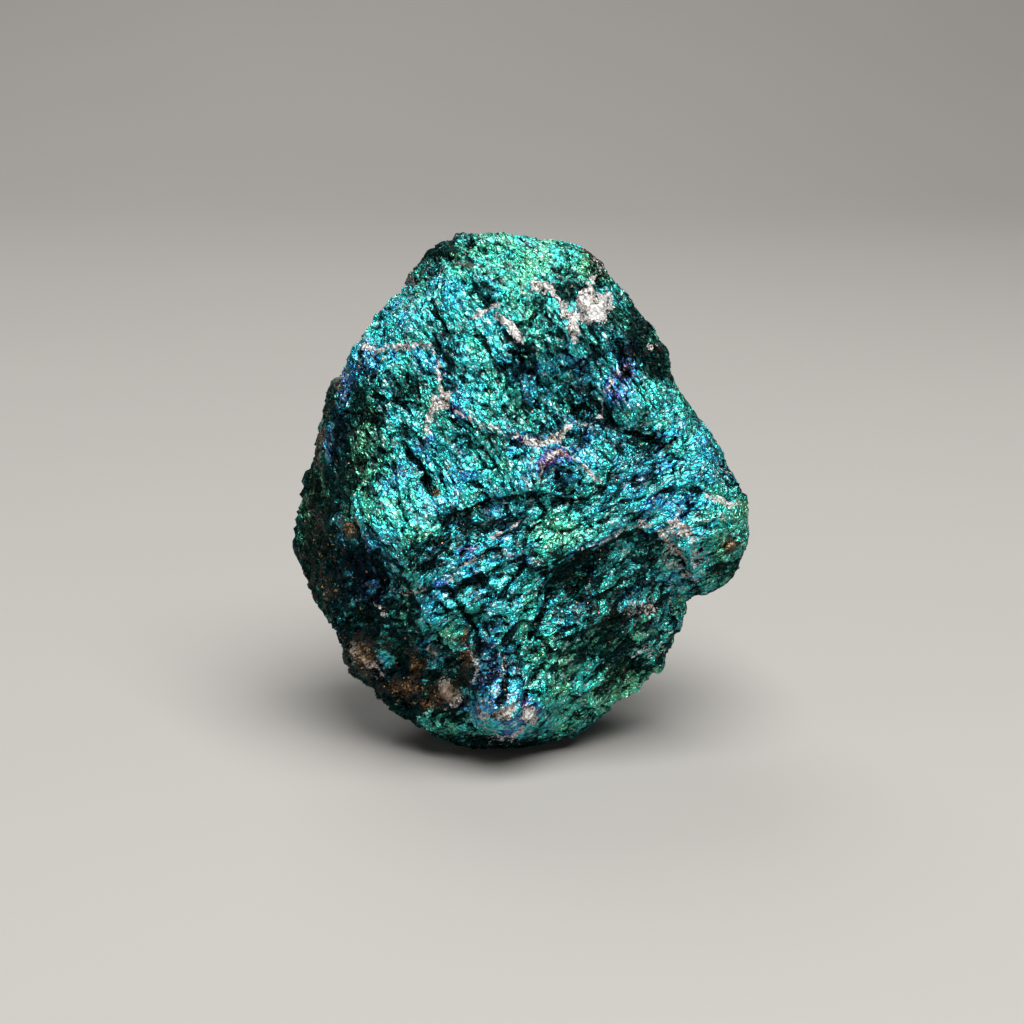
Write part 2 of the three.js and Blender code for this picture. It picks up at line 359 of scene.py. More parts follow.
CRACKS = [  # depth, half width, line
    (0.6, 0.22, [(-11.6, 5.0), (-10.1, 2.6), (-9.4, 1.6)]),
    (0.8, 0.45, [(-9.6, 1.6), (-8.6, 0.3)]),
    (0.35, 0.2, [(-8.8, 19.2), (-8.2, 17.4), (-7.6, 16.2)]),
    (0.4, 0.2, [(-1.2, 14.1), (0.7, 13.8)]),
    (0.4, 0.25, [(7.4, 8.5), (10.2, 6.2), (12.8, 5.0)]),
    (0.4, 0.25, [(-10.6, -10.6), (-9.6, -13.2), (-8.6, -15.6)]),
    (0.4, 0.25, [(-7.0, -10.0), (-5.2, -13.0), (-4.4, -15.6)]),
    (0.5, 0.3, [(-2.0, -10.4), (0.1, -7.2)]),
    (0.5, 0.3, [(1.0, -14.4), (2.2, -12.6), (3.6, -10.2)]),
    (0.6, 0.3, [(-1.4, -16.4), (-1.2, -18.4), (-2.0, -20.2)]),
]
LIP = 0.25  # how far under its lip a ledge has dropped most of the way, mm
SHADOW_REACH = 0.6  # how far under a lip it is darker, mm

recess = np.zeros(len(points))
# Under each lip and along each crack the film is later painted darker: a painted shadow.
shadow = np.zeros(len(points))
for side, ledges in ((front, LEDGES), (back, BACK_LEDGES)):
    for drop, reach, line in ledges:
        away, under, past = from_line(line)
        recess += side * under * drop * (1 - np.exp(-away / LIP)) * np.exp(-(away + past) / reach)
        shadow = np.maximum(shadow, side * under * np.exp(-(away + past) / SHADOW_REACH))
for depth, half_width, line in CRACKS:
    closeness = front * np.exp(-((from_line(line)[0] / half_width) ** 2))
    recess += depth * closeness
    shadow = np.maximum(shadow, closeness)
print("deepest new ledge or crack, mm:", recess.max().round(2))

# %% [markdown]
# ## Pale veins and patches
#
# Quartz filled old cracks in the ore and healed them. Where the lump broke along one, a patch of it is left,
# which stands a little proud because it is harder. Veins could be painted on an image, but an image has its
# own fixed sharpness. So each vein is a line with a half width, and all that is kept for a point is how far
# inside the nearest one it lies. The finish frays that number with noise, so no edge stays smooth.

# %% Draw the veins
VEINS = [  # half width in mm, then the line, [across, up]
    (0.10, [(0.2, 20.3), (1.4, 20.8)]),
    (0.40, [(1.4, 20.8), (2.9, 20.5), (3.6, 19.6), (4.3, 18.4), (4.9, 17.3)]),
    (0.25, [(7.4, 21.6), (7.3, 20.0)]),
    (0.30, [(-4.6, 17.6), (-3.4, 18.3), (-2.6, 18.9), (-2.3, 18.0)]),
    (0.55, [(-2.2, 17.6), (-1.1, 16.6), (-0.2, 15.5)]),
    (0.30, [(-15.8, 14.5), (-13.0, 14.7), (-9.3, 14.9)]),
    (0.02, [(-8.8, 14.4), (-8.4, 12.0), (-8.0, 10.0)]),
    (0.38, [(-7.4, 9.9), (-8.5, 8.7), (-9.0, 7.6)]),
    (0.12, [(-9.0, 7.6), (-9.5, 5.4)]),
    (0.18, [(-8.1, 9.2), (-6.0, 7.6), (-4.1, 6.6), (-2.5, 6.5), (-0.5, 5.7)]),
    (0.22, [(-0.5, 5.7), (1.9, 4.9), (3.5, 5.4)]),
    (0.14, [(3.5, 5.4), (5.9, 6.9), (7.2, 6.9)]),
    (0.08, [(7.2, 6.9), (8.0, 8.2), (8.5, 9.7), (9.2, 11.1), (10.2, 12.2)]),
    (0.16, [(4.1, 4.6), (3.4, 3.8), (2.4, 2.9), (2.0, 1.1)]),
    (0.12, [(4.5, 4.4), (5.9, 3.3), (7.2, 2.1), (8.1, 1.2)]),
    (0.30, [(18.6, -0.1), (19.8, -0.6), (20.7, -1.1)]),
    (0.45, [(20.3, -0.9), (21.1, -1.3)]),
    (0.30, [(15.4, -2.9), (16.4, -3.6), (17.2, -4.8)]),
    (0.22, [(11.9, -3.3), (13.4, -3.5), (14.5, -4.6), (15.6, -6.6), (16.5, -7.6)]),
    (0.12, [(5.0, -5.9), (7.2, -5.4), (8.7, -4.9), (10.5, -3.9), (12.5, -3.5)]),
    (0.10, [(-6.8, -5.6), (-4.7, -5.6)]),
    (0.06, [(-6.5, -7.9), (-3.4, -6.2), (0.0, -6.4), (2.1, -6.9)]),
    (0.0, [(-12.7, -10.3), (-9.6, -10.0), (-6.9, -8.6)]),
    (0.12, [(-2.8, -4.5), (-0.3, -3.1)]),
    (0.32, [(-16.9, -15.4), (-15.9, -16.3), (-15.0, -17.5)]),
    (0.24, [(-14.8, -11.2), (-13.8, -12.4)]),
    (0.14, [(-14.4, -17.9), (-14.1, -18.3)]),
    (0.62, [(-7.8, -19.6), (-6.6, -20.9)]),
    (0.25, [(-9.2, -16.1), (-8.7, -16.5)]),
    (0.14, [(-5.6, -15.4), (-4.4, -17.2), (-4.6, -18.6)]),
    (0.42, [(0.3, -20.9), (1.1, -22.4)]),
    (0.20, [(-2.2, -24.1), (-1.0, -23.6), (0.0, -23.0)]),
    (0.12, [(12.2, 15.5), (13.4, 14.7)]),
]
PATCHES = [  # middle, half width
    ((6.6, 19.2), 1.15),
    ((7.7, 18.2), 1.2),
    ((8.3, 19.4), 0.9),
    ((7.2, 20.4), 0.5),
    ((9.1, 18.7), 0.45),
    ((7.0, 17.4), 0.6),
    ((5.4, 17.4), 0.9),
    ((5.2, 16.3), 0.75),
    ((5.4, 15.4), 0.4),
    ((-3.4, -21.2), 0.5),
    ((-1.9, -21.0), 0.5),
    ((0.7, -21.6), 0.75),
]
BACK_VEINS = [
    (0.28, [(-13.0, 12.0), (-8.0, 10.6), (-3.0, 11.6), (2.0, 8.0), (7.0, 5.6), (12.0, 6.4)]),
    (0.18, [(2.0, 8.0), (1.4, 3.0), (3.4, -2.0), (2.6, -8.0), (5.0, -13.0)]),
    (0.22, [(-14.0, -1.0), (-9.0, -2.2), (-5.0, 0.4), (1.4, 1.0)]),
    (0.15, [(-3.0, 11.6), (-2.0, 15.0), (0.6, 19.0)]),
    (0.45, [(4.6, -12.6), (6.4, -14.8)]),
    (0.40, [(-9.6, -2.4), (-8.4, -4.0)]),
    (0.55, [(-4.0, 11.8), (-2.4, 11.6)]),
    (0.50, [(9.0, 5.4), (10.4, 6.2)]),
    (0.35, [(-6.0, -17.0), (-4.0, -18.6)]),
]
NOWHERE = -2.0  # what a point far from every vein keeps, mm
SIDE_STARTS = 0.3  # how much of a side's marks a point must have to be in one of its veins

vein = np.full(len(points), NOWHERE)
for side, veins in ((front, VEINS), (back, BACK_VEINS)):
    for half_width, line in veins:
        inside = half_width - from_line(line)[0]
        vein = np.where(side > SIDE_STARTS, np.maximum(vein, inside), vein)
for spot, half_width in PATCHES:
    inside = half_width - np.hypot(drawn_across - spot[0], drawn_up - spot[1])
    vein = np.where(front > SIDE_STARTS, np.maximum(vein, inside), vein)
print("share of the skin in veins:", (vein > 0).mean().round(4))

# %% [markdown]
# ## The relief as a whole
#
# From large to small: terraces, plates, scales and grains. Terraces are noise that is made to jump in steps,
# which gives the ore its crisp little shelves. Neighbouring flakes lean alike, as they do where a break ran
# through them in one go. Whole patches then catch the light or miss it, so the patches are drawn first.
# Everything fades out towards the flat spot, so that the lump still stands on it.

# %% Where the flakes face the light
# These zones also paint the film: painted light where lit is above 0, painted shade below it.
LIT_ZONES = [  # middle and radii in mm, then 1 where flakes lean back and flash, to -1 where they lean away
    ((-6.4, 20.2), (2.2, 3.2), 1.0),  # the upper left shoulder
    ((-10.6, 17.8), (2.6, 2.4), 1.0),
    ((-13.6, 15.4), (2.0, 1.2), 0.5),
    ((-10.6, 13.1), (1.4, 1.0), 0.7),
    ((-4.4, 14.2), (2.4, 2.0), 0.7),
    ((-8.6, 17.2), (0.7, 2.2), -0.7),
    ((-7.2, 15.6), (1.8, 0.6), -0.6),
    ((-3.0, 18.4), (0.7, 2.2), -0.25),
    ((0.0, 23.4), (3.6, 2.2), 1.0),  # the crown
    ((-19.3, 4.0), (0.7, 3.0), 1.4),  # a violet streak down the left edge
    ((-17.6, 10.4), (0.7, 2.4), 1.2),
    ((-2.4, 9.4), (4.2, 1.8), 0.9),  # inside the bowl
    ((-12.2, 7.4), (1.3, 0.9), 0.9),
    ((-9.8, 6.0), (1.8, 1.6), 0.5),
    ((-12.6, 3.4), (2.4, 2.0), 0.4),
    ((-6.6, 1.2), (4.4, 2.4), 0.7),  # the middle bulge
    ((-12.6, -2.2), (4.6, 2.2), 0.8),
    ((-2.6, 3.6), (2.8, 1.6), 0.5),
    ((6.2, 3.6), (3.2, 1.8), 0.6),
    ((12.6, 9.4), (2.2, 1.8), 0.5),
    ((15.8, 8.4), (1.2, 3.0), 0.6),
    ((17.2, 4.6), (2.4, 2.6), 0.7),
    ((12.0, -1.4), (3.6, 2.4), 0.6),
    ((3.8, -3.8), (4.4, 1.6), 0.6),
    ((21.6, -2.2), (2.0, 1.8), 1.1),  # the right tip
    ((18.0, -3.6), (2.6, 2.0), 0.8),
    ((-8.6, -13.0), (1.8, 2.8), 0.9),  # the rib
    ((-3.2, -7.8), (2.4, 1.4), 0.6),
    ((0.7, -12.6), (2.6, 2.2), 0.8),
    ((-1.2, -21.4), (2.8, 2.2), 1.3),  # the foot boss
    ((4.2, -19.8), (2.2, 1.4), 0.8),
    ((9.6, -20.6), (5.0, 1.6), 1.1),
    ((-13.6, -16.8), (0.8, 0.7), 1.6),
    ((-3.7, -14.2), (1.0, 0.6), 1.6),
    ((-8.4, 24.2), (3.6, 1.7), -1.0),  # the cap
    ((-4.0, 20.4), (1.0, 1.3), -0.35),
    ((0.8, 19.2), (2.2, 1.6), -0.4),
    ((4.8, 20.6), (1.2, 1.1), -0.8),
    ((7.9, 22.8), (1.9, 1.7), -0.7),
    ((11.8, 17.2), (2.1, 3.4), -1.2),  # the dark facet
    ((13.4, 13.6), (1.6, 1.5), -0.8),
    ((-7.6, 13.6), (1.1, 1.8), -0.7),
    ((0.6, 14.1), (1.8, 0.8), -0.6),
    ((-1.8, 12.3), (2.8, 0.9), -0.7),
    ((4.6, 9.8), (3.2, 2.4), 0.15),  # the far side of the bowl
    ((9.2, 12.4), (1.6, 1.9), 0.3),
    ((-12.6, 10.6), (2.0, 1.6), -0.5),
    ((-15.4, 8.0), (1.8, 2.4), -0.6),
    ((-18.8, 6.0), (1.8, 6.5), -1.0),  # the left wall
    ((-18.8, 1.2), (1.5, 3.6), -1.0),
    ((-21.0, -5.0), (2.0, 6.5), -1.5),
    ((-16.4, -7.0), (2.4, 2.6), -0.7),
    ((-17.4, -13.0), (3.4, 4.2), -1.5),  # lower left
    ((-12.4, -16.8), (2.2, 3.2), -1.0),
    ((-12.4, -20.8), (5.0, 2.4), -1.4),
    ((-10.0, -6.8), (3.0, 1.5), -0.6),
    ((-5.6, -17.0), (1.2, 2.8), -0.8),
    ((3.8, 0.8), (2.0, 1.3), -1.0),
    ((9.6, 7.6), (2.0, 1.2), -0.6),
    ((-3.2, -2.6), (5.4, 1.0), -0.6),  # under the middle ledge
    ((7.0, -7.6), (3.8, 2.4), -0.8),  # under the right ledge
    ((11.6, -12.0), (3.4, 1.2), -0.3),
    ((6.8, -15.8), (3.6, 2.2), -0.5),
    ((-10.6, -4.6), (3.0, 0.7), -0.5),
    ((-3.6, -12.6), (1.4, 2.4), -0.7),
    ((-2.3, -24.8), (3.6, 0.8), -1.0),
]
LIT_BY_CHANCE = 0.5
CALMED = 0.2  # how much of their wildness flakes lose everywhere, by chance, and where they are lit
CALMED_BY_CHANCE = 0.4
CALMED_WHERE_LIT = 0.4
MOST_CALMED = 0.75


def blob(spot, radii):
    """1 in the middle of a round mark as seen, falling away smoothly."""
    return np.exp(-(((across - spot[0]) / radii[0]) ** 2) - ((up - spot[1]) / radii[1]) ** 2)


lit = LIT_BY_CHANCE * smooth_noise(points, 4.5, 9)
for spot, radii, strength in LIT_ZONES:
    lit += strength * front * blob(spot, radii)
lit = np.clip(lit, -1, 1)
calmed = CALMED + CALMED_BY_CHANCE * smooth_noise(points, 7, 8) + CALMED_WHERE_LIT * lit
wild = 1 - np.clip(calmed, 0, MOST_CALMED)
print("lit:", lit.mean().round(2), "wild:", wild.mean().round(2))

# %% The slope that flakes have in common
STEEPEST_IN_FRONT = 0.5
STEEPEST_BEHIND = 0.12  # behind, flakes that leaned this way would break the skin up into sponge
TURN = 0.2  # share of the turn towards halfway that flakes take
MORE_TURN_WHERE_LIT = 0.6
LESS_TURN_WHERE_DARK = 0.2
LEAST_SQUARELY = 0.4  # keeps slopes small where the skin faces away
NO_SLOPE = 1e-6

squarely = (normals @ halfway)[:, None]  # 1 where the skin faces halfway
whole_turn = (squarely * normals - halfway) / np.maximum(squarely, LEAST_SQUARELY)
taken = np.where(lit > 0, TURN + MORE_TURN_WHERE_LIT * lit, TURN + LESS_TURN_WHERE_DARK * lit)
shingle = taken[:, None] * whole_turn
steepness = np.linalg.norm(shingle, axis=1, keepdims=True)
steepest = STEEPEST_BEHIND + (STEEPEST_IN_FRONT - STEEPEST_BEHIND) * front[:, None]
shingle *= np.minimum(1, steepest / np.maximum(steepness, NO_SLOPE))
print("shingles, rise over run:", np.percentile(steepness, [5, 50, 95]).round(2))

# %% Terraces
LARGE_TERRACES = ((8.0, 3.2, 4.0), 0.4)  # size along and across the grain and into the stone, and step, mm
SMALL_TERRACES = ((4.0, 1.5, 2.0), 0.2)
BIGGER_BEHIND = 1.8  # behind, the lump is broken into larger terraces
SHELVES_IN_A_HILL = 2.4
RISER = 0.7  # a shelf is flat up to here, and then climbs to the next
LEVELLED = 0.6  # share of the hill taken away again, which leaves the steps


def terraces(points, axes, size, step, seed):
    """Noise stretched along the grain, made to climb in steps."""
    level = smooth_noise(points @ axes.T / size, 1, seed) * SHELVES_IN_A_HILL
    shelf = np.floor(level)
    return step * (shelf + ease(RISER, 1.0, level - shelf) - LEVELLED * level)


def by_grain(steep, slanting):
    """The first where the grain is steep, the second where it slants, and both blended between them."""
    return (1 - slant) * steep + slant * slanting


def terraces_by_grain(size, step, seed):
    steep = terraces(points, STEEP_GRAIN, size, step, seed)
    return by_grain(steep, terraces(points, SLANT_GRAIN, size, step, seed + 10))


shelves = terraces_by_grain(*LARGE_TERRACES, 2) * (front + BIGGER_BEHIND * (1 - front))
shelves += terraces_by_grain(*SMALL_TERRACES, 3)
print("terraces, mm:", shelves.min().round(2), shelves.max().round(2))

# %% Plates, scales and grains
# For each: its size along and across the grain and into the stone, in mm; its tilt; its step in mm; its share
# of the shingling; and its share of relief on the far side, where the skin's own triangles are larger.
FLAKES = {
    "plate": ((3.2, 1.9, 1.9), 0.24, 0.10, 0.4, 1.5),
    "scale": ((1.4, 0.75, 0.75), 0.30, 0.05, 0.6, 0.6),
    "grain": ((0.75, 0.42, 0.42), 0.20, 0.02, 0.0, 0.0),
}
flake_relief = np.zeros(len(points))
flake_numbers = {}
for order, (name, (size, tilt, step, shingling, behind)) in enumerate(FLAKES.items()):
    manner = (size, tilt, step, wild, shingling * shingle)
    steep, steep_number = flakes(points, STEEP_GRAIN, *manner, 20 * order + 1)
    slanting, slant_number = flakes(points, SLANT_GRAIN, *manner, 20 * order + 11)
    flake_relief += by_grain(steep, slanting) * (front + behind * (1 - front))
    flake_numbers[name] = np.where(slant > 0.5, slant_number, steep_number)
    print(name, "mm:", steep.min().round(2), steep.max().round(2))

# %% Move the skin
PEAK_LEFT = 0.5  # peaks wear down, hollows don't
VEIN_RISE = 0.15
VEIN_SHOULDER = (0.1, 0.6)  # how far inside a vein it starts to stand proud, and is at its height, mm
SPOT_FADE = 1.2  # the relief comes in over this height above the flat spot, mm
SWELL_STARTS = (-0.9, -0.3)  # swells reach round the edge, to skin that faces this far from the camera
SWELLS = [  # middle, radii and rise, mm: where the lump's edge bulges out past the solid's
    ((-22.8, -6.0), (1.8, 4.0), 0.9),
    ((14.2, -17.6), (1.4, 1.8), 0.8),
    ((22.2, -0.6), (1.2, 1.4), 0.6),
    ((-1.6, -21.2), (3.2, 2.6), 2.0),  # the foot boss
    ((-7.2, -20.2), (1.3, 1.3), 0.7),
    ((-15.9, -16.4), (1.0, 1.4), 0.5),
    ((6.4, -20.8), (2.2, 1.0), 0.6),  # the ridge along the lower right edge
    ((9.6, -19.2), (2.2, 1.0), 0.5),
    ((-11.0, 17.0), (2.2, 2.0), 0.6),  # the bosses of the upper left shoulder
    ((-6.4, 20.4), (1.7, 2.4), 0.6),
    ((-4.4, 14.0), (1.7, 1.8), 0.5),
    ((-0.8, 22.8), (2.0, 1.4), 0.4),
]

clear_of_spot = ease(0.0, SPOT_FADE, points[:, 2])
height = shelves + flake_relief - recess
height = np.where(height > 0, PEAK_LEFT * height, height)
height += VEIN_RISE * ease(*VEIN_SHOULDER, vein)
for spot, radii, rise in SWELLS:
    height += rise * blob(spot, radii) * ease(*SWELL_STARTS, facing)
height *= clear_of_spot
points = points + normals * height[:, None]
points[:, 2] = np.maximum(points[:, 2], 0)
write_points(skin, points)
across, up = as_seen(points)
print("moved by, mm:", height.min().round(2), height.max().round(2))

# %% [markdown]
# ## Hollows
#
# Light hardly reaches the bottom of a hollow, so the film is painted darker there: painted shade. A hollow
# is a place that lies deeper than its surroundings, so the height of the relief is blurred over the skin and
# compared with itself.

# %% Find the hollows
BLUR_ROUNDS = 10


def average_of_neighbours(values, rounds):
    """Blurs a number over the skin by giving each point the average of its neighbours."""
    ends = np.empty(len(skin.edges) * 2, np.int32)
    skin.edges.foreach_get("vertices", ends)
    first, second = ends[0::2], ends[1::2]
    count = np.bincount(ends, minlength=len(values))
    for _ in range(rounds):
        total = np.bincount(first, values[second], len(values))
        total = total + np.bincount(second, values[first], len(values))
        values = (values + total) / (count + 1)
    return values


hollow = average_of_neighbours(height, BLUR_ROUNDS) - height
print("hollows, mm:", np.percentile(hollow, [5, 25, 50, 75, 95]).round(3))

# %% [markdown]
# ## Marks carried by the skin
#
# Where a colour belongs to a place, it is kept on the skin's points as a number: how far inside a vein the
# point lies, how thick its film is, how dark (with painted light and shade in it), how rusty and how full
# of quartz specks it is. The points are only a third of a millimetre apart, so numbers on them are fine
# enough, and they follow the relief as an image wouldn't. The finish reads them, and breaks up their edges
# with noise and cells of its own.


# %% Keep numbers on the skin
def keep_on_skin(name, values):
    attribute = skin.attributes.new(name, "FLOAT", "POINT")
    attribute.data.foreach_set("value", values.astype(np.float32))
    print(name, "from", values.min().round(2), "to", values.max().round(2))


keep_on_skin("slant", slant)
keep_on_skin("vein", vein)
keep_on_skin("plate", flake_numbers["plate"])
keep_on_skin("scale", flake_numbers["scale"])

# %% Film thickness
FILM = 0.46  # teal, a place on the ramp of the film's colours
FILM_CHANGES = 0.14
FILM_CHANGES_CLOSE_BY = 0.2
FILM_CHANGES_BEHIND = 0.35
BLUER_BY_A_VEIN = 0.3
BESIDE_A_VEIN = (-1.0, -0.1)  # mm inside it
BLUER_BELOW = (15.5, 12.5)  # the veins at the top and at the right have no blue beside them, mm
BLUER_LEFT_OF = (13.0, 11.0)
FILM_ZONES = [  # middle and radii in mm, then a place on the ramp and how firmly the film is pulled there
    ((0.5, 23.4), (4.5, 2.4), 0.2, 0.9),
    ((0.0, 18.6), (4.0, 2.8), 0.27, 0.8),
    ((-19.3, 4.0), (0.8, 3.0), 0.82, 0.95),
    ((-1.5, -21.6), (2.6, 1.8), 0.56, 0.8),
    ((7.8, 22.6), (2.4, 2.0), 0.04, 0.8),
    ((6.2, 11.2), (3.0, 2.6), 0.64, 0.6),
    ((-20.8, -3.0), (1.8, 8.0), 0.0, 0.8),
    ((-14.4, -8.6), (2.6, 2.2), 0.76, 0.9),
    ((-9.0, 18.0), (5.0, 4.0), 0.54, 0.85),
    ((16.5, 2.0), (4.0, 5.0), 0.56, 0.6),
    ((21.9, -2.3), (1.8, 1.8), 0.12, 0.9),
    ((9.9, -20.0), (4.0, 3.6), 0.12, 0.8),
    ((-16.1, 4.2), (2.4, 5.5), 0.1, 0.8),
    ((3.5, -5.0), (3.0, 2.5), 0.26, 0.4),
    ((11.2, 16.4), (3.0, 3.0), 0.15, 0.7),
    ((20.0, -6.0), (2.5, 2.5), 0.1, 0.7),
    ((10.0, -15.0), (5.0, 4.0), 0.25, 0.6),
    ((-15.6, 13.7), (1.8, 1.6), 0.74, 0.8),
    ((-17.5, 10.4), (1.0, 2.6), 0.84, 0.95),
    ((-18.3, 5.7), (1.2, 2.4), 0.8, 0.8),
    ((-16.8, -7.0), (2.8, 3.0), 0.74, 0.9),
    ((10.5, 12.4), (1.0, 1.6), 0.86, 0.95),
    ((9.1, 10.2), (1.1, 1.5), 0.83, 0.95),
    ((11.1, 14.5), (0.6, 0.6), 0.95, 0.9),
    ((-8.4, 24.0), (4.0, 1.8), 0.14, 0.8),
    ((-4.0, 20.4), (1.4, 1.6), 0.22, 0.7),
    ((5.9, 3.2), (2.6, 2.4), 0.68, 0.7),
    ((18.4, 3.2), (2.2, 3.2), 0.68, 0.7),
    ((-2.1, -19.8), (3.2, 4.0), 0.74, 0.8),
    ((9.5, 14.8), (1.8, 1.6), 0.66, 0.8),
    ((13.0, -2.2), (2.4, 1.8), 0.57, 0.8),
    ((-1.6, 16.0), (4.6, 3.0), 0.36, 0.7),
    ((16.4, -5.4), (2.6, 2.6), 0.4, 0.9),
    ((-3.0, -1.6), (1.4, 1.2), 0.7, 0.7),
    ((-12.8, 2.0), (1.6, 1.4), 0.64, 0.6),
    ((-1.0, -9.5), (1.4, 1.4), 0.66, 0.6),
]
film = FILM + FILM_CHANGES * smooth_noise(points, 14, 4)
film += FILM_CHANGES_CLOSE_BY * smooth_noise(points, 3.5, 5)
film += FILM_CHANGES_BEHIND * (1 - front) * smooth_noise(points, 8, 12)
for spot, radii, wanted, firmness in FILM_ZONES:
    film += firmness * front * blob(spot, radii) * (wanted - film)
bluer = BLUER_BY_A_VEIN * ease(*BESIDE_A_VEIN, vein) * ease(-0.2, 0.4, smooth_noise(points, 3, 11))
film += bluer * ease(*BLUER_BELOW, up) * ease(*BLUER_LEFT_OF, across)
keep_on_skin("film", film)

# %% Darker places, with painted light and shade
TONE = 0.68  # 1 is as bright as the film gets
TONE_CHANGES = 0.2
PAINTED_LIGHT_WHERE_LIT = 0.35
PAINTED_SHADE_WHERE_UNLIT = 0.5
HOLLOWS_PAINTED_DARKER = 0.3
MORE_SO_IN_FRONT = 0.3
HOLLOW_STARTS = (0.0, 0.2)  # mm under the skin around
SHADOWS_DARKER = 0.7
PAINTED_SHADE_TURNED_AWAY = 0.3
TURNED_AWAY = (0.35, -0.15)  # where the skin faces halfway as little as this
DARKEST_TONE = 0.1

tone = TONE + TONE_CHANGES * smooth_noise(points, 6, 6)
# Painted light where the flakes flash, painted shade where they lean away.
tone = tone + np.where(lit > 0, PAINTED_LIGHT_WHERE_LIT, PAINTED_SHADE_WHERE_UNLIT) * lit
# Painted shade in hollows, stronger on the broad face.
painted_hollow_shade = (HOLLOWS_PAINTED_DARKER + MORE_SO_IN_FRONT * front) * ease(*HOLLOW_STARTS, hollow)
# Painted shade in hollows and painted shadows under lips and in cracks darken the film.
tone *= (1 - painted_hollow_shade) * (1 - SHADOWS_DARKER * shadow)
# Painted shade where the skin faces away from halfway between the key lamp and the camera.
painted_turned_away_shade = PAINTED_SHADE_TURNED_AWAY * front * ease(*TURNED_AWAY, squarely[:, 0])
tone = np.minimum(tone, 1) * (1 - painted_turned_away_shade)
keep_on_skin("tone", np.clip(tone, DARKEST_TONE, 1.0))

# %% Rustier places
RUST = 0.06  # share of it everywhere
RUST_IN_PLACES = 0.2
RUST_UNDER_THE_BACK = 0.3
UNDER_THE_BACK = (-12, -20)  # up from the middle, mm
RUST_ZONES = [  # middle and radii in mm, and how rusty
    ((-8.5, 0.0), (0.45, 0.4), 1.5),
    ((21.0, -5.3), (0.8, 0.7), 1.3),
    ((-17.0, -3.6), (0.9, 1.1), 1.2),
    ((-15.8, 2.2), (1.4, 1.0), 0.4),
    ((-20.8, -4.0), (1.6, 6.0), 0.4),
    ((-19.0, -9.6), (1.8, 3.0), 0.4),
    ((-15.8, -16.4), (1.8, 2.2), 1.1),
    ((-11.8, -19.6), (2.2, 1.2), 1.1),
    ((-9.6, -21.4), (1.6, 0.8), 0.8),
    ((-7.4, -20.2), (1.5, 1.4), 1.1),
    ((-10.5, -17.2), (0.7, 1.0), 1.2),
    ((-5.4, -16.4), (0.9, 1.8), 0.8),
    ((-5.6, -14.2), (0.5, 0.7), 1.0),
    ((-10.8, 21.4), (0.8, 2.6), 0.8),
    ((-6.0, 22.7), (2.2, 0.4), 0.8),
    ((8.4, 23.6), (1.8, 0.8), 0.9),
    ((-18.4, 12.0), (0.7, 2.4), 1.0),
    ((-20.0, 6.4), (0.6, 3.2), 0.9),
    ((9.6, -12.0), (3.2, 1.2), 0.5),
    ((13.4, 14.2), (1.0, 0.8), 0.5),
    ((1.2, 5.2), (3.6, 0.8), 0.3),
]
RUSTIEST = 1.6

rust = RUST + RUST_IN_PLACES * ease(0.3, 0.8, smooth_noise(points, 8, 7))
rust += RUST_UNDER_THE_BACK * (1 - front) * ease(*UNDER_THE_BACK, up)
for spot, radii, strength in RUST_ZONES:
    rust += strength * front * blob(spot, radii)
keep_on_skin("rust", np.clip(rust, 0, RUSTIEST))

# %% Specks of quartz too small for a vein
FROST = 0.015  # share of the surface everywhere
FROST_IN_PLACES = 0.06
FROST_ZONES = [  # middle and radii in mm, and share of the surface
    ((-9.0, 8.4), (1.8, 2.6), 0.35),
    ((1.5, 5.0), (5.0, 1.4), 0.2),
    ((16.4, -4.0), (2.2, 2.2), 0.7),
    ((15.8, -6.8), (1.6, 2.0), 0.7),
    ((19.6, 2.2), (1.4, 1.6), 0.35),
    ((20.4, -2.8), (1.6, 1.0), 0.4),
    ((17.4, -8.6), (2.4, 1.4), 0.35),
    ((12.2, -11.6), (2.6, 1.2), 0.65),
    ((12.6, -16.0), (2.2, 0.9), 0.6),
    ((7.8, 22.8), (1.6, 1.6), 0.35),
    ((-2.0, -17.0), (1.8, 3.0), 0.35),
    ((-2.4, -21.6), (3.0, 2.2), 0.4),
    ((-2.3, -24.6), (3.2, 1.0), 0.4),
    ((-12.5, -10.0), (2.2, 1.6), 0.3),
    ((-4.0, 21.4), (4.0, 1.2), 0.15),
    ((9.0, 23.0), (3.0, 2.0), 0.15),
    ((-8.2, 13.0), (1.0, 3.0), 0.2),
]
frost = FROST + FROST_IN_PLACES * ease(0.1, 0.7, smooth_noise(points, 5, 10))
for spot, radii, strength in FROST_ZONES:
    frost += strength * front * blob(spot, radii)
keep_on_skin("frost", np.clip(frost, 0, 1))

# %% [markdown]
# ## A small language for the finish
#
# A finish is arithmetic on numbers that change over the surface. Written node by node, it takes pages. One
# small class lets it be written as Python: it wraps a socket, and each operator adds the Math node that does
# the sum.


# %% Wrap a socket
class Flow:
    """What comes out of a node, with Python's operators on it."""

    def __init__(self, finish, socket):
        self.finish = finish
        self.socket = socket

    def math(self, operation, *others):
        inputs = dict(enumerate((self, *others)))
        return self.finish.node("ShaderNodeMath", {"operation": operation}, inputs)

    def __add__(self, other):
        return self.math("ADD", other)

    def __mul__(self, other):
        return self.math("MULTIPLY", other)

    def __sub__(self, other):
        return self.math("SUBTRACT", other)

    def __rsub__(self, other):
        return self.finish.node("ShaderNodeMath", {"operation": "SUBTRACT"}, {0: other, 1: self})

    def __gt__(self, other):
        return self.math("GREATER_THAN", other)

    __radd__ = __add__
    __rmul__ = __mul__


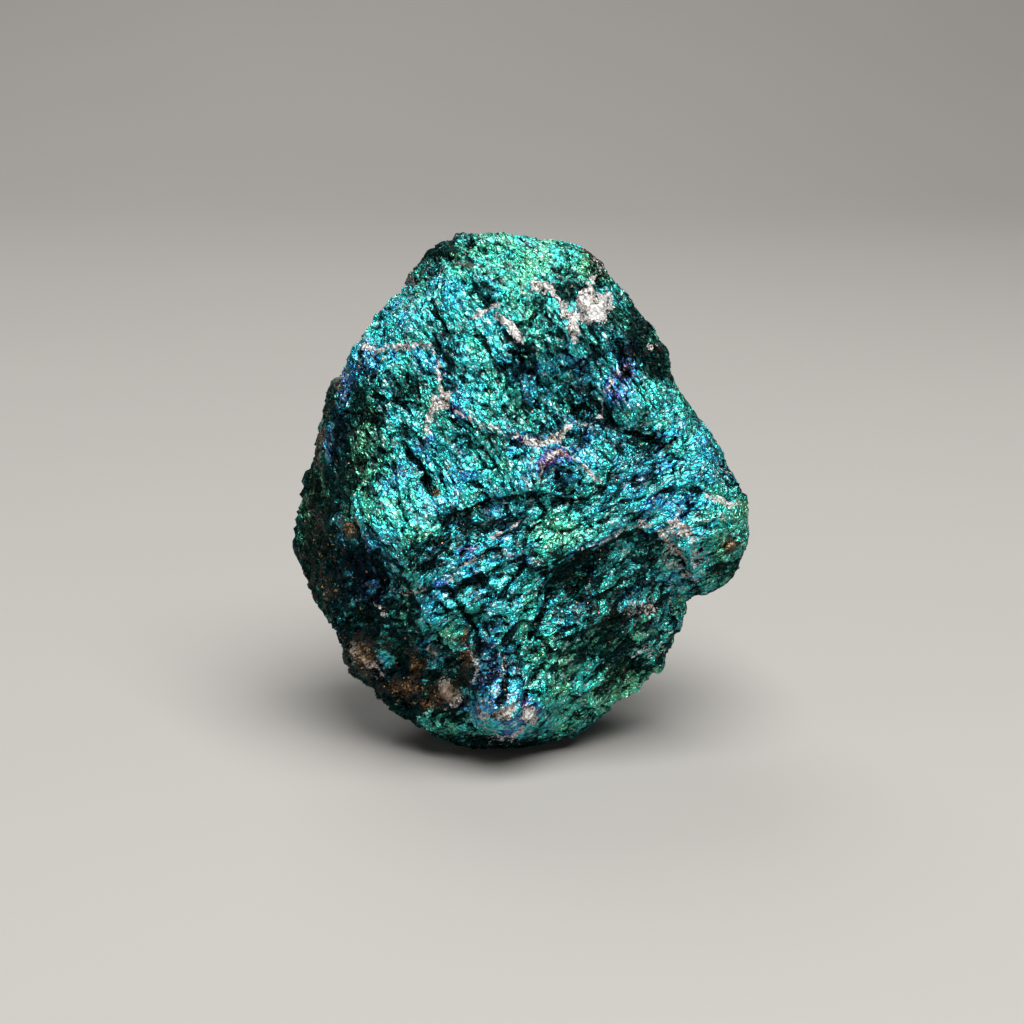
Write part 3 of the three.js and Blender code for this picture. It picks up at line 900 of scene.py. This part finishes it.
# %% Build a finish
class Finish:
    """A material that is being built."""

    def __init__(self, name):
        self.material = bpy.data.materials.new(name)
        self.material.use_nodes = True
        self.tree = self.material.node_tree
        self.tree.nodes.clear()

    def node(self, kind, settings=None, inputs=None, output=0):
        """Adds a node. Settings come first, then what its sockets are given: values or flows."""
        node = self.tree.nodes.new(kind)
        for name, value in (settings or {}).items():
            if name == "stops":
                self.set_stops(node.color_ramp, value)
            else:
                setattr(node, name, value)
        for name, value in (inputs or {}).items():
            if isinstance(value, Flow):
                self.tree.links.new(value.socket, node.inputs[name])
            else:
                node.inputs[name].default_value = value
        return Flow(self, node.outputs[output]) if node.outputs else node

    @staticmethod
    def set_stops(ramp, stops):
        while len(ramp.elements) < len(stops):
            ramp.elements.new(0.5)
        for element, (position, colour) in zip(ramp.elements, stops):
            element.position = position
            element.color = (*colour, 1)

    def read(self, name):
        """A number that was kept on the skin."""
        return self.node("ShaderNodeAttribute", {"attribute_name": name}, output="Fac")

    def mix(self, share, first, second):
        """The first colour where the share is 0, the second where it is 1."""
        settings = {"data_type": "RGBA", "clamp_factor": True}
        return self.node("ShaderNodeMix", settings, {0: share, 6: first, 7: second}, output=2)

    def mix_vectors(self, share, first, second):
        return self.node("ShaderNodeMix", {"data_type": "VECTOR"}, {0: share, 4: first, 5: second}, output=1)

    def vector(self, operation, first, second=None, scale=None):
        inputs = {0: first}
        if second is not None:
            inputs[1] = second
        if scale is not None:
            inputs["Scale"] = scale
        return self.node("ShaderNodeVectorMath", {"operation": operation}, inputs)

    def part(self, flow, axis):
        """One number out of a vector or colour."""
        return self.node("ShaderNodeSeparateXYZ", {}, {0: flow}, output=axis)

    def ease(self, low, high, flow):
        """0 up to low, 1 from high on, and a smooth step between them."""
        settings = {"interpolation_type": "SMOOTHSTEP"}
        return self.node("ShaderNodeMapRange", settings, {"Value": flow, "From Min": low, "From Max": high})


ore = Finish("tarnished_ore")
ore_place = ore.node("ShaderNodeTexCoord", output="Object")
print("finish started:", ore.material.name)

# %% [markdown]
# ## Glints
#
# Inside each grain of the skin the ore still isn't smooth. Triangles for all of it would be millions, so
# cells smaller than the skin's triangles tilt the shading normal instead, each its own way, and some flash
# while their neighbours stay dark. There are three sizes: chips, sparks and dust. Chips and sparks are
# stretched along the same two grains as the flakes, and noise bends them, so that no edge is straight.

# %% Cells along the grain
BEND = 0.35 * MM
SPARK_SIZE = (0.60, 0.26, 0.26)  # along and across the grain and into the stone, mm
CHIP_SIZE = (1.7, 0.75, 0.75)
DUST_SIZE = 0.16


def frayed_noise(size, detail, output):
    """Noise with hills this many mm apart, and finer hills on them as detail rises."""
    inputs = {"Vector": ore_place, "Scale": 1 / (size * MM), "Detail": detail}
    return ore.node("ShaderNodeTexNoise", {}, inputs, output)


def centred(colour, scale):
    """A random colour as a vector that points any way, this long at most along each axis."""
    return ore.vector("SCALE", ore.vector("SUBTRACT", colour, (0.5, 0.5, 0.5)), scale=2 * scale)


bending = frayed_noise(0.8, 3.0, "Color")
bent = ore.vector("ADD", ore_place, centred(bending, BEND))


def turned(axes):
    """The bent place measured along the grain, across it and into the stone, in mm."""
    rotation = Matrix(axes.tolist()).transposed().to_euler()
    inputs = {"Vector": bent, "Rotation": rotation, "Scale": (MM, MM, MM)}
    return ore.node("ShaderNodeMapping", {"vector_type": "TEXTURE"}, inputs)


along_grain = ore.mix_vectors(ore.read("slant") > 0.5, turned(STEEP_GRAIN), turned(SLANT_GRAIN))


def cells(size):
    """A random colour for each cell of this size in mm, and how far its nearest edge is."""
    inputs = {"Vector": ore.vector("DIVIDE", along_grain, size), "Scale": 1.0}
    random_colour = ore.node("ShaderNodeTexVoronoi", {"feature": "F1"}, inputs, "Color")
    edge = ore.node("ShaderNodeTexVoronoi", {"feature": "DISTANCE_TO_EDGE"}, inputs, "Distance")
    return random_colour, edge


spark, spark_edge = cells(SPARK_SIZE)
chip, chip_edge = cells(CHIP_SIZE)
dust = ore.node("ShaderNodeTexVoronoi", {}, {"Vector": ore_place, "Scale": 1 / (DUST_SIZE * MM)}, "Color")
print("nodes so far:", len(ore.tree.nodes))

# %% The tilted normal
CHIP_TILT = 0.09
SPARK_TILT = 0.17
DUST_TILT = 0.14
EDGE_DROP = 0.04 * MM
ROUGHEST = 1.4  # the share of these tilts in the darkest places
SMOOTHER_WHEN_BRIGHT = 0.8
SPARK_ROUND = (0.0, 0.3)  # edges fall off over this share of a cell
CHIP_ROUND = (0.0, 0.16)

brightness = ore.read("tone")
roughened = ROUGHEST - SMOOTHER_WHEN_BRIGHT * brightness
skin_normal = ore.node("ShaderNodeNewGeometry", output="Normal")
tilted = ore.vector("ADD", skin_normal, centred(chip, CHIP_TILT))
tilted = ore.vector("ADD", tilted, centred(spark, SPARK_TILT * roughened))
tilted = ore.vector("ADD", tilted, centred(dust, DUST_TILT * roughened))
tilted = ore.vector("NORMALIZE", tilted)
rounded = ore.ease(*SPARK_ROUND, spark_edge) + 2 * ore.ease(*CHIP_ROUND, chip_edge)
bumps = {"Distance": EDGE_DROP, "Height": rounded, "Normal": tilted}
ore_normal = ore.node("ShaderNodeBump", {}, bumps, "Normal")
print("nodes so far:", len(ore.tree.nodes))

# %% [markdown]
# ## The film's colour
#
# The film is a layer of tarnish far thinner than a hair. Its thickness sets its colour, as in a soap bubble:
# green, teal and cyan over most of this lump, then blue and violet, and bronze at the end of the row. The
# shader has a thin film of its own, but its colours turn with the view, and the exported model would lose
# them. So the colour is one number, the thickness, sent through a ramp. Each plate, scale and spark shifts it
# a little.

# %% Colour ramp
FILM_COLOURS = [
    (0.00, (0.05, 0.36, 0.16)),
    (0.14, (0.22, 0.82, 0.46)),
    (0.30, (0.06, 0.70, 0.53)),
    (0.45, (0.06, 0.78, 0.76)),
    (0.60, (0.05, 0.66, 0.90)),
    (0.72, (0.04, 0.31, 0.76)),
    (0.82, (0.09, 0.11, 0.42)),
    (0.90, (0.20, 0.11, 0.34)),
    (0.96, (0.34, 0.12, 0.24)),
    (1.00, (0.32, 0.19, 0.11)),
]
PLATE_SHIFT = 0.22
SCALE_SHIFT = 0.16
SPARK_SHIFT = 0.16

spark_x, spark_y, spark_z = (ore.part(spark, axis) for axis in range(3))
dust_x, dust_y, dust_z = (ore.part(dust, axis) for axis in range(3))
thickness = ore.read("film") + PLATE_SHIFT * (ore.read("plate") - 0.5)
thickness = thickness + SCALE_SHIFT * (ore.read("scale") - 0.5)
thickness = thickness + SPARK_SHIFT * (spark_x - 0.5)
bright_film = ore.node("ShaderNodeValToRGB", {"stops": FILM_COLOURS}, {0: thickness})
print("stops on the ramp:", len(FILM_COLOURS))

# %% Bright and dark flakes
# A flake is bright where its tone beats chance, and dark where it doesn't: partly the black ore, partly
# painted shade for flakes that would mirror the dim room. It shares part of that chance with its scale and
# its chip.
SCALE_CHANCE = 0.4
CHIP_CHANCE = 0.35
SPARK_CHANCE = 0.25
SHADE_EDGE = (-0.15, 0.2)
LEFT_IN_THE_DARK = 0.05  # share of the film's colour that is left in the darkest flakes and lines
CHIP_LINE = (0.01, 0.09)  # dark lines between chips and between sparks, as shares of a cell
SPARK_LINE = (0.02, 0.16)
CHIP_LINE_FADES = (0.38, 0.58)  # noise below the first hides the line, and above the second shows it
FAINTER_WHEN_BRIGHT = 0.6
# The rarest sparks carry a painted glint.
RARE = (0.78, 0.9)  # the highest of a spark's numbers: these sparks are palest
PAINTED_GLINT_COVERS = 0.5
SPECKLE = 0.8  # how much dust darkens the film, how much less where it is bright, and which dust does
SPECKLE_LOST_WHEN_BRIGHT = 0.45
SPECKLE_EDGE = (0.1, 0.5)
# Also the colour of the painted shade in dark flakes.
SULPHIDE_AND_SHADE = (0.002, 0.006, 0.006, 1)  # the black ore where the film shows nothing
PAINTED_GLINT = (0.68, 0.94, 0.87, 1)


def left_in_dark(flow):
    return LEFT_IN_THE_DARK + (1 - LEFT_IN_THE_DARK) * flow


chance = SCALE_CHANCE * ore.read("scale") + CHIP_CHANCE * ore.part(chip, 1) + SPARK_CHANCE * spark_y
shade = left_in_dark(ore.ease(*SHADE_EDGE, brightness - chance))
chip_gap = (1 - ore.ease(*CHIP_LINE, chip_edge)) * ore.ease(*CHIP_LINE_FADES, ore.part(bending, 0))
spark_gap = (1 - ore.ease(*SPARK_LINE, spark_edge)) * (1 - FAINTER_WHEN_BRIGHT * brightness)
lines = (1 - chip_gap) * (1 - spark_gap)  # 0 in a line and 1 between them
# The rarest sparks are mixed towards pale mint: a painted glint.
bright_film = ore.mix(PAINTED_GLINT_COVERS * ore.ease(*RARE, spark_z), bright_film, PAINTED_GLINT)
speckled = (SPECKLE - SPECKLE_LOST_WHEN_BRIGHT * brightness) * (1 - ore.ease(*SPECKLE_EDGE, dust_y))
film_colour = ore.mix(shade * (1 - speckled) * left_in_dark(lines), SULPHIDE_AND_SHADE, bright_film)
print("nodes so far:", len(ore.tree.nodes))

# %% [markdown]
# ## Rust, bronze and quartz
#
# Three things break the film. Rust grows in clumps where water stood. Bronze, the ore's own colour, shows as
# specks where a film flake has come off. Quartz is pale and isn't metal: a thick patch of it is white, a thin
# vein is a row of grey grains with ore between them, and it is tan where rust has crept in. Each is a mask
# with a ragged edge, and each covers what comes before it. Sparks and dust lend the masks their numbers, so
# that an edge runs around whole grains.

# %% Rust, and specks of bare bronze
DARK_RUST = (0.025, 0.015, 0.009, 1)
LIGHT_RUST = (0.16, 0.08, 0.038, 1)
BRONZE = (0.50, 0.30, 0.13, 1)
RUST_COVERS = 0.9
RUST_EDGE = (-0.08, 0.08)
RUST_CLUMPS = (0.3, 0.7)
RUST_FRAY = 0.15
LIGHT_RUST_STARTS = (0.5, 1.0)
BARE = 0.05  # share of bare bronze, how much more there is in rust, and more still in the thickest
BARE_IN_RUST = 0.05
BARE_IN_THICK_RUST = 0.14

clump = frayed_noise(1.2, 4.0, "Fac")
rustiness = ore.read("rust")
rusty = ore.ease(*RUST_EDGE, rustiness - ore.ease(*RUST_CLUMPS, clump) - RUST_FRAY * dust_x)
grit = 0.5 * spark_z + 0.5 * dust_z
bare = BARE + BARE_IN_RUST * rustiness + BARE_IN_THICK_RUST * rustiness * rustiness > grit
rust_colour = ore.mix(ore.ease(*LIGHT_RUST_STARTS, rustiness - 0.3 * spark_y), DARK_RUST, LIGHT_RUST)
base = ore.mix(RUST_COVERS * rusty, film_colour, ore.mix(lines, SULPHIDE_AND_SHADE, rust_colour))
base = ore.mix(bare, base, BRONZE)
print("nodes so far:", len(ore.tree.nodes))

# %% Where there is quartz
FRAY = 1.2  # how far noise carries a vein's edge, mm
VEIN_EDGE = (-0.3, 0.35)  # from no quartz to all quartz, mm inside the vein
VEIN_BREAKS = (0.36, 0.5)  # noise below the first breaks a vein up, and above the second doesn't
LEFT_IN_BREAKS = 0.35
UNBROKEN_INSIDE = (0.3, 0.6)  # a wide vein breaks up less, mm
VEIN_SHARE = 1.1
FROST_CLUMPS = (0.4, 0.6)

ragged = frayed_noise(0.9, 5.0, "Fac")
within = ore.read("vein") + FRAY * (ragged - 0.5)
unbroken = LEFT_IN_BREAKS + (1 - LEFT_IN_BREAKS) * ore.ease(*VEIN_BREAKS, clump)
unbroken = unbroken + ore.ease(*UNBROKEN_INSIDE, within)
quartz_share = VEIN_SHARE * unbroken * ore.ease(*VEIN_EDGE, within)
quartz_share = quartz_share + ore.read("frost") * ore.ease(*FROST_CLUMPS, clump)
pale = quartz_share > 0.1 + 0.8 * (0.45 * spark_x + 0.55 * dust_x)
print("nodes so far:", len(ore.tree.nodes))

# %% The colour of quartz
WHITE_QUARTZ = (0.80, 0.78, 0.755, 1)
GREY_QUARTZ = (0.30, 0.275, 0.26, 1)
TAN_QUARTZ = (0.42, 0.29, 0.20, 1)
THINNEST = 0.3  # thinner veins look like this one, mm
WHITE_INSIDE = (0.35, 0.75)  # mm, each grain a little sooner or later
TAN_STARTS = (0.3, 0.8)  # how rusty it is
TAN_COVERS = 0.85
DARK_GRAINS = (0.2, 0.5)  # ore between the pale grains, less of it in a wide vein
FEWER_INSIDE = 0.7
BRONZE_GRAINS = (0.8, 0.9)
LEFT_IN_LINES = 0.4

vein_depth = within.math("MAXIMUM", THINNEST)
whiteness = ore.ease(*WHITE_INSIDE, vein_depth + 0.6 * dust_y)
quartz = ore.mix(whiteness, GREY_QUARTZ, WHITE_QUARTZ)
quartz = ore.mix(TAN_COVERS * ore.ease(*TAN_STARTS, rustiness - 0.3 * dust_z), quartz, TAN_QUARTZ)
pale_grains = ore.ease(*DARK_GRAINS, grit + FEWER_INSIDE * vein_depth - 0.15)
quartz = ore.mix(ore.ease(*BRONZE_GRAINS, dust_x - 0.2 * vein_depth), quartz, BRONZE)
quartz = ore.mix((LEFT_IN_LINES + (1 - LEFT_IN_LINES) * lines) * pale_grains, SULPHIDE_AND_SHADE, quartz)
base = ore.mix(pale, base, quartz)
print("nodes so far:", len(ore.tree.nodes))

# %% [markdown]
# ## The finish as a whole
#
# The film is clear and the ore under it is metal, so the finish is a metal whose own colour is the film's,
# with a thin coat on its bright flakes that adds a white highlight to the coloured one. Quartz isn't metal,
# and rust is only partly so.

# %% Put the finish together
METAL = 0.95
METAL_LOST_TO_RUST = 0.6
SMOOTHEST = 0.22
ROUGHER_BY_SPARK = 0.16
QUARTZ_ROUGHER = 0.3
COAT = 0.35

shader = ore.node(
    "ShaderNodeBsdfPrincipled",
    {},
    {
        "Base Color": base,
        "Metallic": METAL * (1 - pale) * (1 - METAL_LOST_TO_RUST * rusty),
        "Roughness": SMOOTHEST + ROUGHER_BY_SPARK * spark_z + QUARTZ_ROUGHER * pale,
        "Specular Tint": (0.4, 0.55, 0.55, 1),
        "Coat Weight": COAT * shade,
        "Coat Roughness": 0.15,
        "Normal": ore_normal,
    },
)
ore.node("ShaderNodeOutputMaterial", {}, {"Surface": shader})
print("nodes in the finish:", len(ore.tree.nodes))

# %% [markdown]
# ## Into the frame
#
# The skin takes the place of the solid it was cut from. It is shaded flat, because real flakes are flat and
# meet at sharp edges. Smooth shading would melt them together.

# %% Hang the skin in the frame
piece = bpy.data.objects.new("ore_lump", skin)
bpy.context.scene.collection.objects.link(piece)
skin.materials.clear()
skin.materials.append(ore.material)
skin.polygons.foreach_set("use_smooth", [False] * len(skin.polygons))
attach(piece, "root")
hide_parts("ore")
print("hung in the frame:", piece.name)

# %% [markdown]
# ## The floor
#
# A pale floor that curves up into a backdrop, as in a product studio, so that there is no horizon behind the
# lump. One square is enough: its far edge is raised, and the fold is rounded by a bevel.

# %% Floor
FLOOR_REACH = 3.0  # to the front and the sides, m
BACKDROP = 0.8  # how far behind the lump the floor curves up, m
BACKDROP_HEIGHT = 0.8
FOLD_RADIUS = 0.35
FOLD_SEGMENTS = 16
PAPER = (0.30, 0.288, 0.27, 1)
PALER_PAPER = (0.33, 0.317, 0.297, 1)

floor_mesh = bpy.data.meshes.new("floor")
sheet = bmesh.new()
bmesh.ops.create_grid(sheet, x_segments=1, y_segments=1, size=FLOOR_REACH)
far_corners = [vert for vert in sheet.verts if vert.co.y > 0]
bmesh.ops.translate(sheet, verts=far_corners, vec=(0, BACKDROP - FLOOR_REACH, 0))
far_edge = [edge for edge in sheet.edges if all(vert in far_corners for vert in edge.verts)]
risen = bmesh.ops.extrude_edge_only(sheet, edges=far_edge)["geom"]
top_corners = [part for part in risen if isinstance(part, bmesh.types.BMVert)]
bmesh.ops.translate(sheet, verts=top_corners, vec=(0, 0, BACKDROP_HEIGHT))
rounding = {"offset": FOLD_RADIUS, "segments": FOLD_SEGMENTS, "profile": 0.5}
bmesh.ops.bevel(sheet, geom=far_edge, affect="EDGES", material=-1, **rounding)
sheet.to_mesh(floor_mesh)
sheet.free()
floor_mesh.polygons.foreach_set("use_smooth", [True] * len(floor_mesh.polygons))

paper = Finish("studio_paper")
floor_place = paper.node("ShaderNodeTexCoord", output="Object")
mottle = paper.node("ShaderNodeTexNoise", {}, {"Vector": floor_place, "Scale": 6.0}, "Fac")
paper_colour = paper.mix(mottle, PAPER, PALER_PAPER)
paper_shader = paper.node("ShaderNodeBsdfPrincipled", {}, {"Base Color": paper_colour, "Roughness": 0.9})
paper.node("ShaderNodeOutputMaterial", {}, {"Surface": paper_shader})
floor_mesh.materials.append(paper.material)
floor = bpy.data.objects.new("floor", floor_mesh)
bpy.context.scene.collection.objects.link(floor)
print("floor:", len(floor_mesh.polygons), "faces")

# %% [markdown]
# ## Light
#
# Metal shows what it reflects, so most of the room is kept dim, and one broad soft lamp, high in front and to
# the right, makes the glints. A weak lamp fills the left, one behind draws the edges, and two small ones low
# in front throw a little light up under the foot.

# %% Lamps
LAMPS = {  # azimuth and elevation in degrees, distance and size in m, and watts
    "key": (KEY_AZIMUTH, KEY_ELEVATION, 0.6, 0.5, 7.8),
    "fill": (-60, 20, 0.8, 0.5, 0.25),
    "back": (200, 45, 0.7, 0.4, 2.0),
    "low right": (42, 4, 0.6, 0.1, 0.25),
    "low left": (-25, 3, 0.6, 0.1, 0.15),
}
ROOM = (0.5, 0.47, 0.44, 1)
ROOM_STRENGTH = 0.12


def lamp(name, azimuth, elevation, distance, size, watts):
    """A square soft lamp that looks at the lump."""
    light = bpy.data.lights.new(name, "AREA")
    light.size = size
    light.energy = watts
    direction = outward(azimuth, elevation)
    item = bpy.data.objects.new(name, light)
    item.location = middle + direction * distance
    item.rotation_euler = direction.to_track_quat("Z", "Y").to_euler()
    bpy.context.scene.collection.objects.link(item)


for name, placing in LAMPS.items():
    lamp(name, *placing)
room = bpy.data.worlds.new("room")
room.use_nodes = True
room.node_tree.nodes["Background"].inputs["Color"].default_value = ROOM
room.node_tree.nodes["Background"].inputs["Strength"].default_value = ROOM_STRENGTH
bpy.context.scene.world = room
bpy.context.scene.view_settings.view_transform = "Standard"
print("lamps:", ", ".join(LAMPS))
